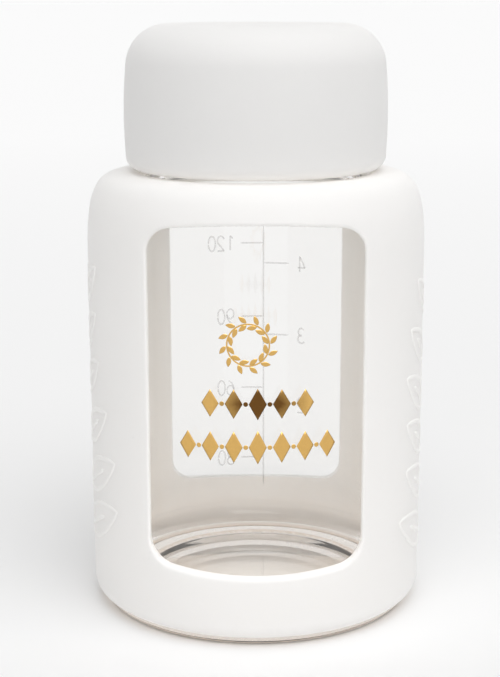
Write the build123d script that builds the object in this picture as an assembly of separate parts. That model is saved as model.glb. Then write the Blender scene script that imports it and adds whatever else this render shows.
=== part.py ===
"""Squat glass storage bottle in a windowed silicone sleeve, closed by a screw cap with a two-piece seal.

Frame: millimetres, +Z up, origin on the axis at the floor, front window towards -Y.
The neck and the cap bore are plain here, because the fine screw thread belongs to the surface finish.
"""
import os
from math import asin, cos, degrees, radians, sin, sqrt

from build123d import *

# Glass bottle
glass_radius = 28.0
glass_wall = 2.4
glass_floor = 3.6
heel_round = 1.2
foot_ring_width = 5.0
punt_rise = 1.4
floor_round = 5.0
shoulder_start = 65.6
neck_radius = 18.2
neck_height = 20.6
neck_fillet = 2.0
lip_round = 0.8
bead_height = 2.2
bead_reach = 1.0
bead_lift = 2.6

# Shoulder of the glass: each arc's radius and its final lean from the vertical in degrees
glass_shoulder = [(43.0, 8), (10.0, 28), (3.4, 76), (3.0, 90)]

# Silicone sleeve
sleeve_wall = 1.95
sleeve_foot_gap = 1.4
sleeve_foot_round = 2.5
sleeve_shoulder = [(45.0, 8), (12.0, 28), (4.0, 76), (12.0, 90)]
collar_round = 0.5
window_width = 36.0
window_bottom = 14.0
window_height = 57.0
window_bow = 1.3
window_corner = 4.4
window_edge_round = 0.7

# Screw cap and its silicone cover
cap_wall = 1.4
cap_top = 1.6
cap_inner_round = 1.2
cover_wall = 1.5
cover_lip = 1.2
cover_rim_round = 2.4
lip_edge_round = 0.3
barrel_arc = 97.0
crown_lean = 5.5
crown_round = 7.4
thread_depth = 1.2
snap_bead = 0.7

# Gasket and sealing disc
gasket_thickness = 1.2
skirt_wall = 0.8
skirt_depth = 2.6
disc_thickness = 1.6
disc_dish = 0.5
disc_margin = 3.5
seal_edge_round = 0.3

# Clearances
sleeve_fit = 0.05
collar_clearance = 0.3
cover_fit = 0.05
thread_clearance = 0.4
cap_sleeve_gap = 0.35
lip_clearance = 0.1
seal_gap = 0.1
skirt_clearance = 0.2
disc_clearance = 0.4
disc_play = 0.2


def arc_point(centre, radius, lean):
    """Point of an arc where the outline leans so many degrees from the vertical towards the axis."""
    return centre[0] + radius * cos(radians(lean)), centre[1] + radius * sin(radians(lean))


def lean_arcs(start, arcs, inset=0.0, lean=0.0):
    """Tangent arcs upwards from start, each to its final lean, with radii for an outline moved inwards."""
    edges = []
    for radius, final in arcs:
        held = radius - inset
        offset = arc_point((0, 0), held, lean)
        centre = (start[0] - offset[0], start[1] - offset[1])
        end = arc_point(centre, held, final)
        edges.append(ThreePointArc(start, arc_point(centre, held, (lean + final) / 2), end))
        start, lean = end, final
    return edges, start


def corner(centre, radius, first, last):
    """Quarter round or other short arc about a centre, from one lean to another."""
    middle = (first + last) / 2
    return ThreePointArc(*(arc_point(centre, radius, lean) for lean in (first, middle, last)))


def path(*points):
    """Straight edges through the points."""
    return [Line(a, b) for a, b in zip(points, points[1:])]


def turned(edges):
    """Solid of revolution about the bottle's axis from a closed outline in radius and height."""
    return revolve(Plane.XZ * Face(Wire(edges)), Axis.Z)


def reach(arcs):
    """How far a shoulder comes in from its wall."""
    return -lean_arcs((0, 0), arcs)[1][0]


def shoulder_top(arcs):
    """Height of the flat that a shoulder ends in."""
    return lean_arcs((0, shoulder_start), arcs)[1][1]


def circles_at(body, radius, height):
    """The solid's circular edges of one radius at one height, to be rounded."""
    near = 0.01
    return [
        edge for edge in body.edges().filter_by(GeomType.CIRCLE)
        if abs(edge.radius - radius) < near and abs(edge.center().Z - height) < near
    ]


# Sizes that follow from those above
sleeve_bore = glass_radius + sleeve_fit
sleeve_radius = sleeve_bore + sleeve_wall
collar_radius = neck_radius + neck_fillet + collar_clearance

# Shoulder arcs, smaller where a narrow step from wall to neck leaves them less room
shoulder_share = min(
    1.0,
    (glass_radius - neck_radius - neck_fillet) / reach(glass_shoulder),
    (sleeve_radius - collar_radius - 2 * collar_round) / reach(sleeve_shoulder),
)
glass_arcs = [(radius * shoulder_share, lean) for radius, lean in glass_shoulder]
sleeve_arcs = [(radius * shoulder_share, lean) for radius, lean in sleeve_shoulder]

# Heights from the shoulder upwards
glass_top = shoulder_top(glass_arcs)
sleeve_top = shoulder_top(sleeve_arcs)
neck_foot = glass_top + neck_fillet
neck_bore = neck_radius - glass_wall
rim_height = glass_top + neck_height
gasket_base = rim_height + seal_gap
gasket_top = gasket_base + gasket_thickness
disc_base = gasket_top + seal_gap
disc_top = disc_base + disc_thickness
cap_ceiling = disc_top + disc_play
cap_bore = neck_radius + thread_depth + thread_clearance
cap_rim = sleeve_top + cap_sleeve_gap
lip_top = cap_rim + cover_lip
lip_radius = cap_bore + lip_clearance
cover_radius = cap_bore + cap_wall + cover_fit + cover_wall
cover_top = cap_ceiling + cap_top + cover_fit + cover_wall


def glass_side(inset):
    """Outline from the end of the glass wall over the shoulder to the foot of the neck."""
    shoulder, flat = lean_arcs((glass_radius - inset, shoulder_start), glass_arcs, inset)
    turn = (neck_radius + neck_fillet, flat[1])
    rise, foot = lean_arcs(turn, [(-neck_fillet, 0)], inset, 90)
    return [*shoulder, Line(flat, turn), *rise], foot


def glass_bottle():
    """Bottle with a pushed-up base, rounded heel and shoulder, a neck with a bead and a rounded lip."""
    outer, outer_foot = glass_side(0)
    inner, inner_foot = glass_side(glass_wall)
    heel = (glass_radius - heel_round, heel_round)
    ring = heel[0] - foot_ring_width
    wall = glass_radius - glass_wall
    floor = (wall - floor_round, glass_floor + floor_round)
    lip = min(lip_round, 0.45 * glass_wall)
    outer_lip = (neck_radius - lip, rim_height - lip)
    inner_lip = (neck_bore + lip, rim_height - lip)
    edges = [
        ThreePointArc((0, punt_rise), (ring / 2, 0.75 * punt_rise), (ring, 0)),
        Line((ring, 0), (heel[0], 0)),
        corner(heel, heel_round, -90, 0),
        Line((glass_radius, heel_round), (glass_radius, shoulder_start)),
        *outer,
        Line(outer_foot, (neck_radius, outer_lip[1])),
        corner(outer_lip, lip, 0, 90),
        Line((outer_lip[0], rim_height), (inner_lip[0], rim_height)),
        corner(inner_lip, lip, 90, 180),
        Line((neck_bore, inner_lip[1]), inner_foot),
        *inner,
        Line((wall, shoulder_start), (wall, floor[1])),
        corner(floor, floor_round, -90, 0),
        *path((floor[0], glass_floor), (0, glass_floor), (0, punt_rise)),
    ]
    return turned(edges) + neck_bead()


def neck_bead():
    """Rounded ring round the neck, below the thread."""
    low = neck_foot + bead_lift
    high = low + bead_height
    root = neck_radius - glass_wall / 2
    crest = (neck_radius + bead_reach, (low + high) / 2)
    edges = [
        ThreePointArc((neck_radius, low), crest, (neck_radius, high)),
        *path((neck_radius, high), (root, high), (root, low), (neck_radius, low)),
    ]
    return turned(edges)


def window_cutter():
    """Tall rounded opening with bowed top and bottom edges, straight through the front and the rear."""
    half = window_width / 2
    low, high = window_bottom, window_bottom + window_height
    outline = Wire([
        Line((-half, high), (-half, low)),
        ThreePointArc((-half, low), (0, low - window_bow), (half, low)),
        Line((half, low), (half, high)),
        ThreePointArc((half, high), (0, high + window_bow), (-half, high)),
    ])
    face = Face(outline)
    face = fillet(face.vertices(), window_corner)
    return extrude(Plane.XZ * face, 2 * sleeve_radius, both=True)


def silicone_sleeve():
    """Sleeve with a rounded foot, shoulder and collar and two like windows with softened edges."""
    outer, flat = lean_arcs((sleeve_radius, shoulder_start), sleeve_arcs)
    inner, seat = lean_arcs((sleeve_bore, shoulder_start), glass_arcs, -sleeve_fit)
    foot = (sleeve_radius - sleeve_foot_round, sleeve_foot_gap + sleeve_foot_round)
    foot_lean = -degrees(asin(sqrt(1 - ((sleeve_bore - foot[0]) / sleeve_foot_round) ** 2)))
    edges = [
        corner(foot, sleeve_foot_round, foot_lean, 0),
        Line((sleeve_radius, foot[1]), (sleeve_radius, shoulder_start)),
        *outer,
        *path(flat, (collar_radius, flat[1]), (collar_radius, seat[1]), seat),
        *inner,
        Line((sleeve_bore, shoulder_start), arc_point(foot, sleeve_foot_round, foot_lean)),
    ]
    body = turned(edges)
    body = fillet(circles_at(body, collar_radius, sleeve_top), collar_round)
    body = body - window_cutter()
    return fillet(window_rims(body), window_edge_round)


def window_rims(body):
    """Edges of the windows on the sleeve's outer face, without the short ones through its wall."""
    rims = []
    for edge in body.edges():
        middle = edge.position_at(0.5)
        outside = sqrt(middle.X**2 + middle.Y**2) > sleeve_bore + sleeve_wall / 2
        beside = abs(middle.X) < window_width / 2 + window_edge_round
        between = window_bottom - 2 * window_bow < middle.Z < window_bottom + window_height + 2 * window_bow
        through = abs(edge.tangent_at(0.5).Y) > 0.99
        if outside and beside and between and not through:
            rims.append(edge)
    return rims


def cap_side(inset, base):
    """Barrel-shaped side and rounded crown of the cap, moved inwards, from a base height to the flat top.

    The barrel leans at the rim by what makes it end at the crown's height.
    """
    crown_sine = sin(radians(crown_lean))
    rim_sine = crown_sine - (cover_top - cap_rim - crown_round * (1 - crown_sine)) / barrel_arc
    centre = (cover_radius - barrel_arc * cos(asin(rim_sine)), cap_rim - barrel_arc * rim_sine)
    lean = degrees(asin((base - centre[1]) / (barrel_arc - inset)))
    start = arc_point(centre, barrel_arc - inset, lean)
    edges, flat = lean_arcs(start, [(barrel_arc, crown_lean), (crown_round, 90)], inset, lean)
    return start, edges, flat


def cap_shell():
    """Screw cap: a cup with a flat ceiling and a small bead that holds the sealing disc."""
    rim = lip_top + cover_fit
    start, side, flat = cap_side(cover_wall + cover_fit, rim)
    inner = (cap_bore - cap_inner_round, cap_ceiling - cap_inner_round)
    edges = [
        *side,
        *path(flat, (0, flat[1]), (0, cap_ceiling), (inner[0], cap_ceiling)),
        corner(inner, cap_inner_round, 0, 90),
        *path((cap_bore, inner[1]), (cap_bore, rim), start),
    ]
    return turned(edges) + snap_ring()


def snap_ring():
    """Half-round bead inside the cap, just under the edge of the sealing disc."""
    high = disc_base - disc_play
    low = high - 2 * snap_bead
    root = cap_bore + cap_wall / 2
    edges = [
        ThreePointArc((cap_bore, high), (cap_bore - snap_bead, high - snap_bead), (cap_bore, low)),
        *path((cap_bore, low), (root, low), (root, high), (cap_bore, high)),
    ]
    return turned(edges)


def cap_cover():
    """Silicone jacket of even thickness over the cap, with a rounded lip that wraps under the cap's rim."""
    outer_start, outer, outer_flat = cap_side(0, cap_rim)
    inner_start, inner, inner_flat = cap_side(cover_wall, lip_top)
    edges = [
        *outer,
        *path(outer_flat, (0, outer_flat[1]), (0, inner_flat[1]), inner_flat),
        *inner,
        *path(inner_start, (lip_radius, lip_top), (lip_radius, cap_rim), outer_start),
    ]
    body = turned(edges)
    body = fillet(circles_at(body, cover_radius, cap_rim), cover_rim_round)
    return fillet(circles_at(body, lip_radius, cap_rim), lip_edge_round)


def seal_gasket():
    """Silicone ring on the glass lip with a skirt that plugs the mouth."""
    outside = neck_bore - skirt_clearance
    inside = outside - skirt_wall
    bottom = gasket_base - skirt_depth
    body = turned(path(
        (inside, bottom), (outside, bottom), (outside, gasket_base), (neck_radius, gasket_base),
        (neck_radius, gasket_top), (inside, gasket_top), (inside, bottom),
    ))
    soft = circles_at(body, outside, bottom) + circles_at(body, neck_radius, gasket_top)
    return fillet(soft, seal_edge_round)


def sealing_disc():
    """Stiff disc between the gasket and the cap, dished on top inside its margin."""
    radius = cap_bore - disc_clearance
    dish = radius - disc_margin
    body = turned(path(
        (0, disc_base), (radius, disc_base), (radius, disc_top), (dish, disc_top),
        (dish - disc_dish, disc_top - disc_dish), (0, disc_top - disc_dish), (0, disc_base),
    ))
    edges = circles_at(body, radius, disc_base) + circles_at(body, radius, disc_top)
    return fillet(edges, seal_edge_round)


pieces = [glass_bottle, silicone_sleeve, cap_shell, cap_cover, seal_gasket, sealing_disc]

os.makedirs("parts", exist_ok=True)
for piece in pieces:
    export_step(piece(), f"parts/{piece.__name__}.step")
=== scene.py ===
"""Storage bottle in a windowed sleeve: surfaces, finishes, light and camera round its frame.

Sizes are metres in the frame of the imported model: +Z is up, and the front window faces -Y.
"""
from math import radians

import bmesh
import bpy
import numpy as np
from mathutils import Matrix, Vector


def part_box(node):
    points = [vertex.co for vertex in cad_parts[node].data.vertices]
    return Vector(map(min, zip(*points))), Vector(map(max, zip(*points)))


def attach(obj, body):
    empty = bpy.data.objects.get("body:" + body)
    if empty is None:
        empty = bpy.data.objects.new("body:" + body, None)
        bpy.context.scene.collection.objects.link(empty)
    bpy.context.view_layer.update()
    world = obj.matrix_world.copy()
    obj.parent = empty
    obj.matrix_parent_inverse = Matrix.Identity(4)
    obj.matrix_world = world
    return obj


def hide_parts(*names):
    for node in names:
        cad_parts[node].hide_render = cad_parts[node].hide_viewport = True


bl_info = {
    "name": "Sleeved storage bottle",
    "version": (1, 0, 0),
    "blender": (4, 5, 0),
    "location": "3D View > Sidebar > Bottle",
    "description": "Builds the bottle's visible surfaces and its studio round the packed frame",
    "category": "Object",
}

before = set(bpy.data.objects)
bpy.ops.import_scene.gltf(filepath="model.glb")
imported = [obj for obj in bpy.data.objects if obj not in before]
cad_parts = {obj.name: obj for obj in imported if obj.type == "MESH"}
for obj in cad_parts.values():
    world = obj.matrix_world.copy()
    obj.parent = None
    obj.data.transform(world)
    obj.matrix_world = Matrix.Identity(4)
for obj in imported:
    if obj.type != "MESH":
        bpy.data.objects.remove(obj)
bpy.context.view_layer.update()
SLEEVE_LOW, SLEEVE_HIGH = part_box("silicone_sleeve")
GLASS_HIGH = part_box("glass_bottle")[1]
COVER_LOW, COVER_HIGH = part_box("cap_cover")
SHELL_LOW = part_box("cap_shell")[0]
DISC_LOW, DISC_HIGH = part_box("sealing_disc")
GASKET_LOW, GASKET_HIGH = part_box("seal_gasket")

MM = 0.001

# Shoulder arcs of the glass and the sleeve: radius, and the lean from the vertical at its end
GLASS_ARCS = [(43.0 * MM, 8), (10.0 * MM, 28), (3.4 * MM, 76), (3.0 * MM, 90)]
SLEEVE_ARCS = [(45.0 * MM, 8), (12.0 * MM, 28), (4.0 * MM, 76), (12.0 * MM, 90)]
SHOULDER_START = 65.6 * MM
SHOULDER_STEPS = (12, 14, 14, 8)
COLLAR_STEPS = 6

# Points on the sleeve's window edge: along a side, round a corner and along a bowed end
SIDE_POINTS, CORNER_POINTS, BOW_POINTS = 120, 48, 64

# Columns round the turned pieces
GLASS_COLUMNS, COVER_COLUMNS, SEAL_COLUMNS = 192, 224, 160

# Thread ridge: half the width of its crest, the width of a flank, and the turns in the cap
CREST, FLANK, CAP_TURNS = 0.3 * MM, 0.6 * MM, 1.9

# Play of the disc in the cap, and the groove under it: way in from the dish's edge, and depth
DISC_PLAY = 0.2 * MM
DISC_GROOVE = ((3.0 * MM, 0.0), (2.8 * MM, 0.2 * MM), (2.4 * MM, 0.2 * MM), (2.2 * MM, 0.0))

# How far the raised lines reach into the sleeve, and how far the prints stand off the glass
LEAF_ROOT = 0.02 * MM
PRINT_FOOT, FOIL_TOP, INK_TOP = 0.008 * MM, 0.024 * MM, 0.022 * MM

# Foil: the wreath, and each row's height, lozenge width, lozenge height and number of lozenges
WREATH_MIDDLE, WREATH_RADIUS = np.array([-1.3 * MM, 52.6 * MM]), 3.5 * MM
WREATH_LEAVES, WREATH_LINE = 12, 0.26 * MM
ROWS = ((42.6 * MM, 3.0 * MM, 5.4 * MM, 5), (35.2 * MM, 3.0 * MM, 5.8 * MM, 7))
ROW_MIDDLE, ROW_PITCH, DOT_RADIUS = 0.3 * MM, 4.0 * MM, 0.4 * MM

# Volume scale in millimetres: its marks' numbers and heights, and its spine's ends
MILLILITRES = ((120, 60.7), (90, 46.1), (60, 31.5), (30, 16.9))
OUNCES = ((4, 56.7), (3, 42.4), (2, 28.1))
SPINE = (11.0, 64.5)

# Digits in a box one high. A stroke is a list of points (x, y) and of arcs (centre x, centre y,
# half-width, half-height, first and last angle in degrees).
DIGITS = {
    "0": [[(0.30, 0.50, 0.30, 0.50, 0, 360)]],
    "1": [[(0.05, 0.80), (0.27, 1.00), (0.27, 0.00)]],
    "2": [[(0.30, 0.70, 0.28, 0.30, 170, -35), (0.02, 0.00), (0.60, 0.00)]],
    "3": [[(0.28, 0.74, 0.26, 0.26, 150, -90), (0.28, 0.27, 0.30, 0.27, 90, -150)]],
    "4": [[(0.46, 0.00), (0.46, 1.00), (0.00, 0.30), (0.64, 0.30)]],
    "6": [[(0.31, 0.32, 0.29, 0.32, 0, 360)], [(0.62, 0.34, 0.60, 0.66, 180, 103)]],
    "9": [[(0.29, 0.68, 0.29, 0.32, 0, 360)], [(-0.02, 0.66, 0.60, 0.66, 0, -77)]],
}

# Light that the silicone lets through, and how thinly the ink covers
TRANSLUCENCE, INK_COVER = 0.3, 0.22

# Tint of the glass, and painted warm shade at its foot that fades out over the fade's height: share
# of that height, and colour
FOOT_SHADE_FADE = 9.0 * MM
GLASS_TINT_AND_FOOT_SHADE = (
    (0.0, (0.64, 0.47, 0.34)),
    (0.19, (0.95, 0.905, 0.85)),
    (0.5, (0.985, 0.965, 0.94)),
    (1.0, (1.0, 0.997, 0.990)),
)

# Painted shade on the foil, standing in for a dark reflection: its middle across and up, and how
# far it fades to each side and up and down
SHADE_MIDDLE, SHADE_REACH = (0.8 * MM, 42.6 * MM), (8.0 * MM, 5.0 * MM)

# Floor: half its side in metres, its far colour, and its colour and glow in glass and gloss
FLOOR_REACH = 40.0
FLOOR_FAR, FLOOR_THROUGH, FLOOR_GLOW = 0.975, 0.42, 0.48

# Level of the world where the camera, glass or gloss shows it, and the lamp's direction and angle
WORLD_SHOWN = 0.96
LAMP_SIDE, LAMP_ANGLE = (0.09, -0.24, 0.56), radians(60)


def number(name, value, note, **more):
    """A number that a user can set."""
    return bpy.props.FloatProperty(name=name, description=note, default=value, **more)


def length(name, value, note):
    """A size that a user can set, given here in millimetres."""
    return number(name, value * MM, note, unit="LENGTH", precision=5)


def angle(name, value, note):
    """An angle that a user can set, given here in degrees."""
    return number(name, radians(value), note, subtype="ANGLE")


def colour(name, value, note):
    """A colour that a user can set."""
    return bpy.props.FloatVectorProperty(
        name=name, description=note, default=value, size=3, subtype="COLOR", min=0.0, max=1.0
    )


class BottleSizes(bpy.types.PropertyGroup):
    """Sizes of the glass and its thread."""

    wall: length("Glass wall", 2.4, "Thickness of the bottle's wall")
    floor: length("Glass floor", 3.6, "Height of the inner floor above the table")
    floor_round: length("Floor round", 5.0, "Radius between the inner floor and wall")
    heel_round: length("Heel round", 1.2, "Radius between the wall and the foot ring")
    foot_ring: length("Foot ring", 5.0, "Width of the flat ring under the bottle")
    punt_rise: length("Punt rise", 1.4, "Height of the pushed-up base")
    neck_radius: length("Neck radius", 18.2, "Outer radius of the neck at the thread's root")
    neck_fillet: length("Neck fillet", 2.0, "Radius between the shoulder and the neck")
    lip_round: length("Lip round", 0.8, "Rounding of the mouth's edges")
    bead_lift: length("Bead lift", 2.6, "Height of the bead above the neck's foot")
    bead_height: length("Bead height", 2.2, "Height of the ring below the thread")
    bead_reach: length("Bead reach", 1.0, "How far the ring stands out")
    pitch: length("Thread pitch", 3.5, "Rise of the thread in one turn")
    thread_reach: length("Thread reach", 1.2, "Height of the thread over its root")
    thread_start: length("Thread start", 86.8, "Height of the thread where it begins")
    thread_turns: number("Thread turns", 1.6, "Turns that the thread makes", min=0.5, max=3.0)


class SleeveSizes(bpy.types.PropertyGroup):
    """Sizes of the sleeve, its windows and the raised leaves."""

    fit: length("Fit", 0.05, "Gap between the glass and the sleeve")
    foot_round: length("Foot round", 2.5, "Radius of the sleeve's lower edge")
    collar_clearance: length("Collar clearance", 0.3, "Gap from the neck's foot to the collar")
    collar_round: length("Collar round", 0.5, "Radius of the collar's upper edge")
    window_width: length("Window width", 36.0, "Width of each window across its chord")
    window_bottom: length("Window bottom", 14.0, "Height of the window's lower corners")
    window_height: length("Window height", 57.0, "Height between the window's corners")
    window_bow: length("Window bow", 1.3, "How far the upper and lower edges bow outwards")
    window_corner: length("Window corner", 4.4, "Radius of the window's corners")
    edge_round: length("Edge round", 0.7, "Rounding of the window's outer edge")
    inner_edge_round: length("Inner edge round", 0.15, "Rounding of its inner edge")
    leaf_line: length("Leaf line", 0.85, "Width of the raised lines on the sides")
    leaf_height: length("Leaf height", 0.16, "Height of the raised lines on the sides")


class CapSizes(bpy.types.PropertyGroup):
    """Sizes of the cap's two layers and the seal."""

    cover_wall: length("Cover wall", 1.5, "Thickness of the cap's silicone cover")
    cover_fit: length("Cover fit", 0.05, "Gap between the shell and its cover")
    barrel_arc: length("Barrel arc", 97.0, "Radius of the cap's barrel-shaped side")
    crown_round: length("Crown round", 7.4, "Radius of the cap's upper edge")
    crown_lean: angle("Crown lean", 5.5, "How far the side leans in under the crown")
    rim_round: length("Rim round", 2.4, "Radius of the cover's lower edge")
    lip: length("Cover lip", 1.2, "Thickness of the cover's lip under the shell")
    lip_clearance: length("Lip clearance", 0.1, "How far the lip stays outside the bore")
    lip_round: length("Lip round", 0.3, "Radius of the lip's inner edge")
    bore: length("Bore", 19.8, "Inner radius of the cap")
    ceiling_round: length("Ceiling round", 1.2, "Radius inside under the cap's ceiling")
    snap_bead: length("Snap bead", 0.7, "Radius of the bead that holds the disc")
    disc_margin: length("Disc margin", 3.5, "Width of the disc's raised margin")
    disc_dish: length("Disc dish", 0.5, "Depth of the dish in the disc's top")
    gasket_thickness: length("Gasket thickness", 1.2, "Thickness of the gasket's flat ring")
    skirt_wall: length("Skirt wall", 0.8, "Thickness of the gasket's skirt")
    skirt_clearance: length("Skirt clearance", 0.2, "Gap between the skirt and the mouth")
    seal_edge: length("Seal edge round", 0.3, "Rounding of the disc's and the gasket's edges")


class BottleColours(bpy.types.PropertyGroup):
    """Colours of the finishes."""

    silicone: colour("Silicone", (0.985, 0.971, 0.953), "Sleeve and cap cover")
    plastic: colour("Cap plastic", (0.86, 0.86, 0.84), "Screw cap and disc")
    gasket: colour("Gasket", (0.80, 0.82, 0.84), "Clear silicone of the gasket")
    gold_light: colour("Bright gold", (0.80, 0.50, 0.16), "Foil where it catches the light")
    gold_dark: colour("Deep gold", (0.16, 0.075, 0.02), "Foil where it falls into shade")
    ink: colour("Scale ink", (0.62, 0.62, 0.64), "Printed volume marks")
    floor: colour("Floor", (0.885, 0.885, 0.885), "Studio floor near the bottle")


class StudioSetup(bpy.types.PropertyGroup):
    """Camera place and light levels."""

    distance: length("Distance", 268.7, "Level distance from the camera to the bottle's axis")
    height: length("Height", 107.9, "Camera height above the floor")
    lens: number("Lens", 80.5, "Focal length in millimetres")
    tilt: angle("Tilt", 12.68, "How far the camera looks down")
    yaw: angle("Yaw", 0.23, "Turn of the camera to the left")
    roll: angle("Roll", -0.08, "Turn of the camera about its own axis")
    dome: number("Dome", 0.27, "Strength of the surrounding light")
    dome_depth: number("Dome depth", 0.45, "How much stronger it is from the front and the rear")
    lamp: number("Lamp", 1.8, "Strength of the soft overhead light")


# Outlines in radius and height


def arc(centre, radius, first, last, steps):
    """Points centre + radius * (cos a, sin a), with a running evenly from first to last degree."""
    lean = np.radians(np.linspace(first, last, steps + 1))
    return centre + radius * np.stack([np.cos(lean), np.sin(lean)], axis=1)


def follow(points, stretch):
    """The outline with a stretch added whose first point is the outline's last."""
    return np.concatenate([points, stretch[1:]])


def bend(points, *values):
    """The outline with an arc added that begins at its end."""
    return follow(points, arc(*values))


def run(points, *targets, spacing=2.0 * MM):
    """The outline with straight stretches of evenly spaced points added through the targets."""
    points = np.atleast_2d(points)
    for target in targets:
        start, end = points[-1], np.array(target, float)
        count = max(1, int(np.ceil(np.linalg.norm(end - start) / spacing)))
        steps = np.arange(1, count + 1)[:, None]
        points = np.concatenate([points, start + (end - start) * steps / count])
    return points


def lean_arcs(start, arcs, inset=0.0, lean=0.0, fineness=0.25 * MM, steps=None):
    """Tangent arcs from start, from a lean in degrees on to the lean that each ends at.

    Each keeps its centre on the normal of the last one's end, and inset shortens its radius.
    """
    points = np.array([start])
    counts = steps or [
        max(4, int(abs(radius * np.radians(final - lean)) / fineness)) for radius, final in arcs
    ]
    for (radius, final), count in zip(arcs, counts):
        ring = arc((0, 0), radius - inset, lean, final, count)
        points = follow(points, points[-1] + (ring - ring[0]))
        lean = final
    return points


def distances(points):
    """Distance along an outline from its first point to each."""
    return np.concatenate([[0.0], np.cumsum(np.linalg.norm(np.diff(points, axis=0), axis=1))])


def sample(places, along, points):
    """Points of an outline at the given places, where along holds the place of each of its own."""
    return np.stack([np.interp(places, along, points[:, k]) for k in (0, 1)], axis=-1)


def smooth_step(x):
    """0 below 0, 1 above 1, and 3x^2 - 2x^3 between."""
    x = np.clip(x, 0.0, 1.0)
    return x * x * (3.0 - 2.0 * x)


# Meshes


def around(radius, turn, height):
    """Points x = radius * sin(turn), y = -radius * cos(turn), z = height."""
    axes = np.broadcast_arrays(radius * np.sin(turn), -radius * np.cos(turn), height)
    return np.stack(axes, axis=-1)


def put(name, data):
    """Links a new object with this data to the scene."""
    thing = bpy.data.objects.new(name, data)
    bpy.context.scene.collection.objects.link(thing)
    return thing


def make_mesh(name, vertices, quads, triangles=()):
    """A smooth-shaded mesh object in place from arrays of corners and faces."""
    mesh = bpy.data.meshes.new(name)
    faces = np.asarray(quads).reshape(-1, 4).tolist()
    faces += np.asarray(triangles, int).reshape(-1, 3).tolist()
    mesh.from_pydata(np.asarray(vertices, float).reshape(-1, 3).tolist(), [], faces)
    mesh.validate()
    mesh.shade_smooth()
    mesh.update()
    return put(name, mesh)


def grid_quads(rows, columns, wrap_rows=False):
    """Corner numbers of a grid whose columns wrap round, and whose rows may wrap too."""
    row = np.arange(rows if wrap_rows else rows - 1)[:, None]
    column = np.arange(columns)[None, :]
    here, after = row * columns, (row + 1) % rows * columns
    beside = (column + 1) % columns
    corners = [here + column, here + beside, after + beside, after + column]
    return np.stack(np.broadcast_arrays(*corners), axis=-1).reshape(-1, 4)


def fan(pole, first, second):
    """Triangles from one corner to each pair of corners."""
    return np.stack([np.full(len(first), pole), first, second], axis=1)


def turned(name, outline, columns, bump=None):
    """Surface of revolution of (radius, height), with the radius changed by bump(turn, h, r).

    The outline runs round the section with the material on its left. One that begins and ends on
    the axis gets a pole at each end, and any other is closed on itself.
    """
    poles = outline[0, 0] < 1e-9
    body = outline[1:-1] if poles else outline
    turn = np.linspace(0.0, 2.0 * np.pi, columns, endpoint=False)
    radius, height = (np.repeat(body[:, k, None], columns, axis=1) for k in (0, 1))
    if bump is not None:
        radius = radius + bump(turn[None, :], height, radius)
    grid = around(radius, turn, height).reshape(-1, 3)
    quads = grid_quads(len(body), columns, wrap_rows=not poles)
    triangles = []
    if poles:
        count, column = len(grid), np.arange(columns)
        beside, last = (column + 1) % columns, count - columns
        under, over = fan(count, beside, column), fan(count + 1, last + column, last + beside)
        triangles = np.concatenate([under, over])
        grid = np.concatenate([grid, [[0, 0, outline[0, 1]], [0, 0, outline[-1, 1]]]])
    return make_mesh(name, grid, quads, triangles)


def thread(start, pitch, turns, reach, root):
    """Right-hand screw ridge as a bump where a turned surface has the radius root.

    A point lies in turn k where its height is nearest start + pitch * (k + angle / 360 degrees).
    The ridge is full height within CREST of that line, falls over FLANK, and fades in and out over
    an eighth of a turn.
    """

    def bump(turn, height, radius):
        part = turn / (2.0 * np.pi)
        along = np.round((height - start) / pitch - part) + part
        off = np.abs(height - start - pitch * along)
        fade = smooth_step(along * 8.0) * smooth_step((turns - along) * 8.0)
        on_root = np.abs(radius - root) < 0.01 * MM
        return reach * fade * on_root * smooth_step((CREST + FLANK - off) / FLANK)

    return bump


def clothe(piece, finish, body, slot, *nodes):
    """Gives the piece its finish and body, and hides the CAD nodes that it stands for. The slot is
    not used.
    """
    piece.data.materials.append(finish)
    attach(piece, body)
    if nodes:
        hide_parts(*nodes)


# Glass bottle


def glass_outline(sizes):
    """Section of the bottle from the punt's middle round the outside and the lip to the floor."""
    radius, neck, soft = GLASS_HIGH.x, sizes.neck_radius, sizes.lip_round
    heel = (radius - sizes.heel_round, sizes.heel_round)
    ring = heel[0] - sizes.foot_ring
    rise = (ring**2 + sizes.punt_rise**2) / (2.0 * sizes.punt_rise)
    punt = np.degrees(np.arcsin(ring / rise))
    outside = arc((0, sizes.punt_rise - rise), rise, 90.0, 90.0 - punt, 24)
    outside[0, 0] = 0.0
    outside = bend(run(outside, (heel[0], 0.0)), heel, sizes.heel_round, -90, 0, 8)
    outside = run(outside, (radius, SHOULDER_START))
    outside = follow(outside, lean_arcs(outside[-1], GLASS_ARCS))
    foot = (neck + sizes.neck_fillet, outside[-1][1])
    fillet = [(-sizes.neck_fillet, 0)]
    outside = follow(run(outside, foot), lean_arcs(foot, fillet, 0.0, 90))
    ledge = outside[-1][1] + sizes.bead_lift
    outside = run(outside, (neck, ledge), spacing=0.5 * MM)
    swell = np.linspace(0.0, np.pi, 13)
    bulge = [neck + sizes.bead_reach * np.sin(swell), ledge + sizes.bead_height * swell / np.pi]
    outside = follow(outside, np.stack(bulge, axis=1))
    lip = GLASS_HIGH.z - soft
    outside = run(outside, (neck, lip), spacing=0.18 * MM)
    outside = bend(outside, (neck - soft, lip), soft, 0, 90, 6)
    inside = arc((neck - sizes.wall + soft, lip), soft, 90, 180, 6)
    inner = radius - sizes.wall
    for stretch in (
        lean_arcs((foot[0], foot[1] - sizes.wall), fillet, sizes.wall, 90),
        lean_arcs((inner, SHOULDER_START), GLASS_ARCS, sizes.wall),
    ):
        inside = follow(run(inside, stretch[-1]), stretch[::-1])
    bowl = (inner - sizes.floor_round, sizes.floor + sizes.floor_round)
    inside = bend(run(inside, (inner, bowl[1])), bowl, sizes.floor_round, 0, -90, 16)
    return np.concatenate([outside, run(inside, (0.0, sizes.floor))])


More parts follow.
